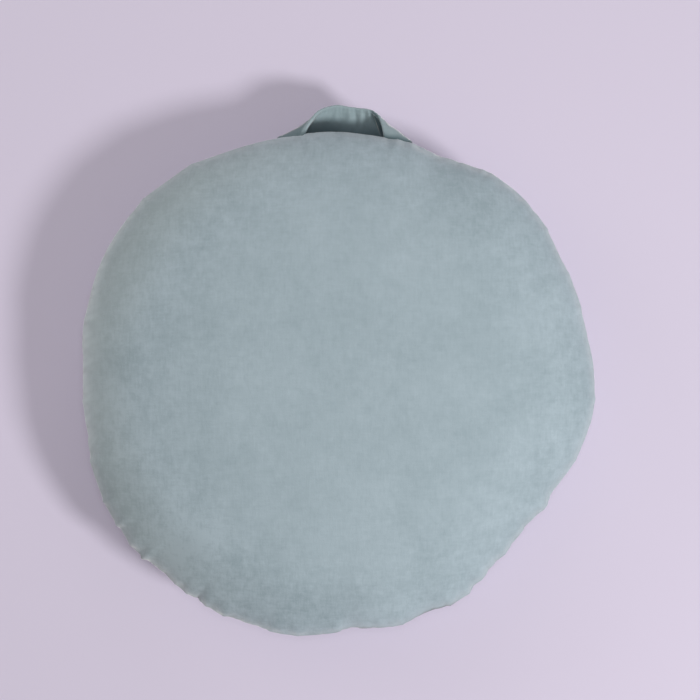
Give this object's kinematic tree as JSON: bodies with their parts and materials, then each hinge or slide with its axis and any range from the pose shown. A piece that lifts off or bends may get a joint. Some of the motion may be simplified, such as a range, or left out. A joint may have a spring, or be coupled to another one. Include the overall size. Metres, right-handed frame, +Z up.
{
  "type": "pouf",
  "caption": "Soft round floor pouf in velvet-like cloth, domed and knife-edged, with a short carry strap caught in its perimeter seam.",
  "frame": {"origin": "middle of the whole part's box, strap included, on the floor that the pouf rests on", "axes": "+Z up, +Y towards the carry strap, +X to the right seen from above with the strap at the top"},
  "size_m": [0.6036, 0.627, 0.17],
  "materials": {
    "velvet": "short-pile suede-like velvet, matt with a soft sheen at grazing angles",
    "strap_velvet": "the same short-pile velvet, folded double and edge stitched"
  },
  "bodies": {
    "root": {"cushion": "velvet", "handle_strap": "strap_velvet"}
  },
  "joints": []
}
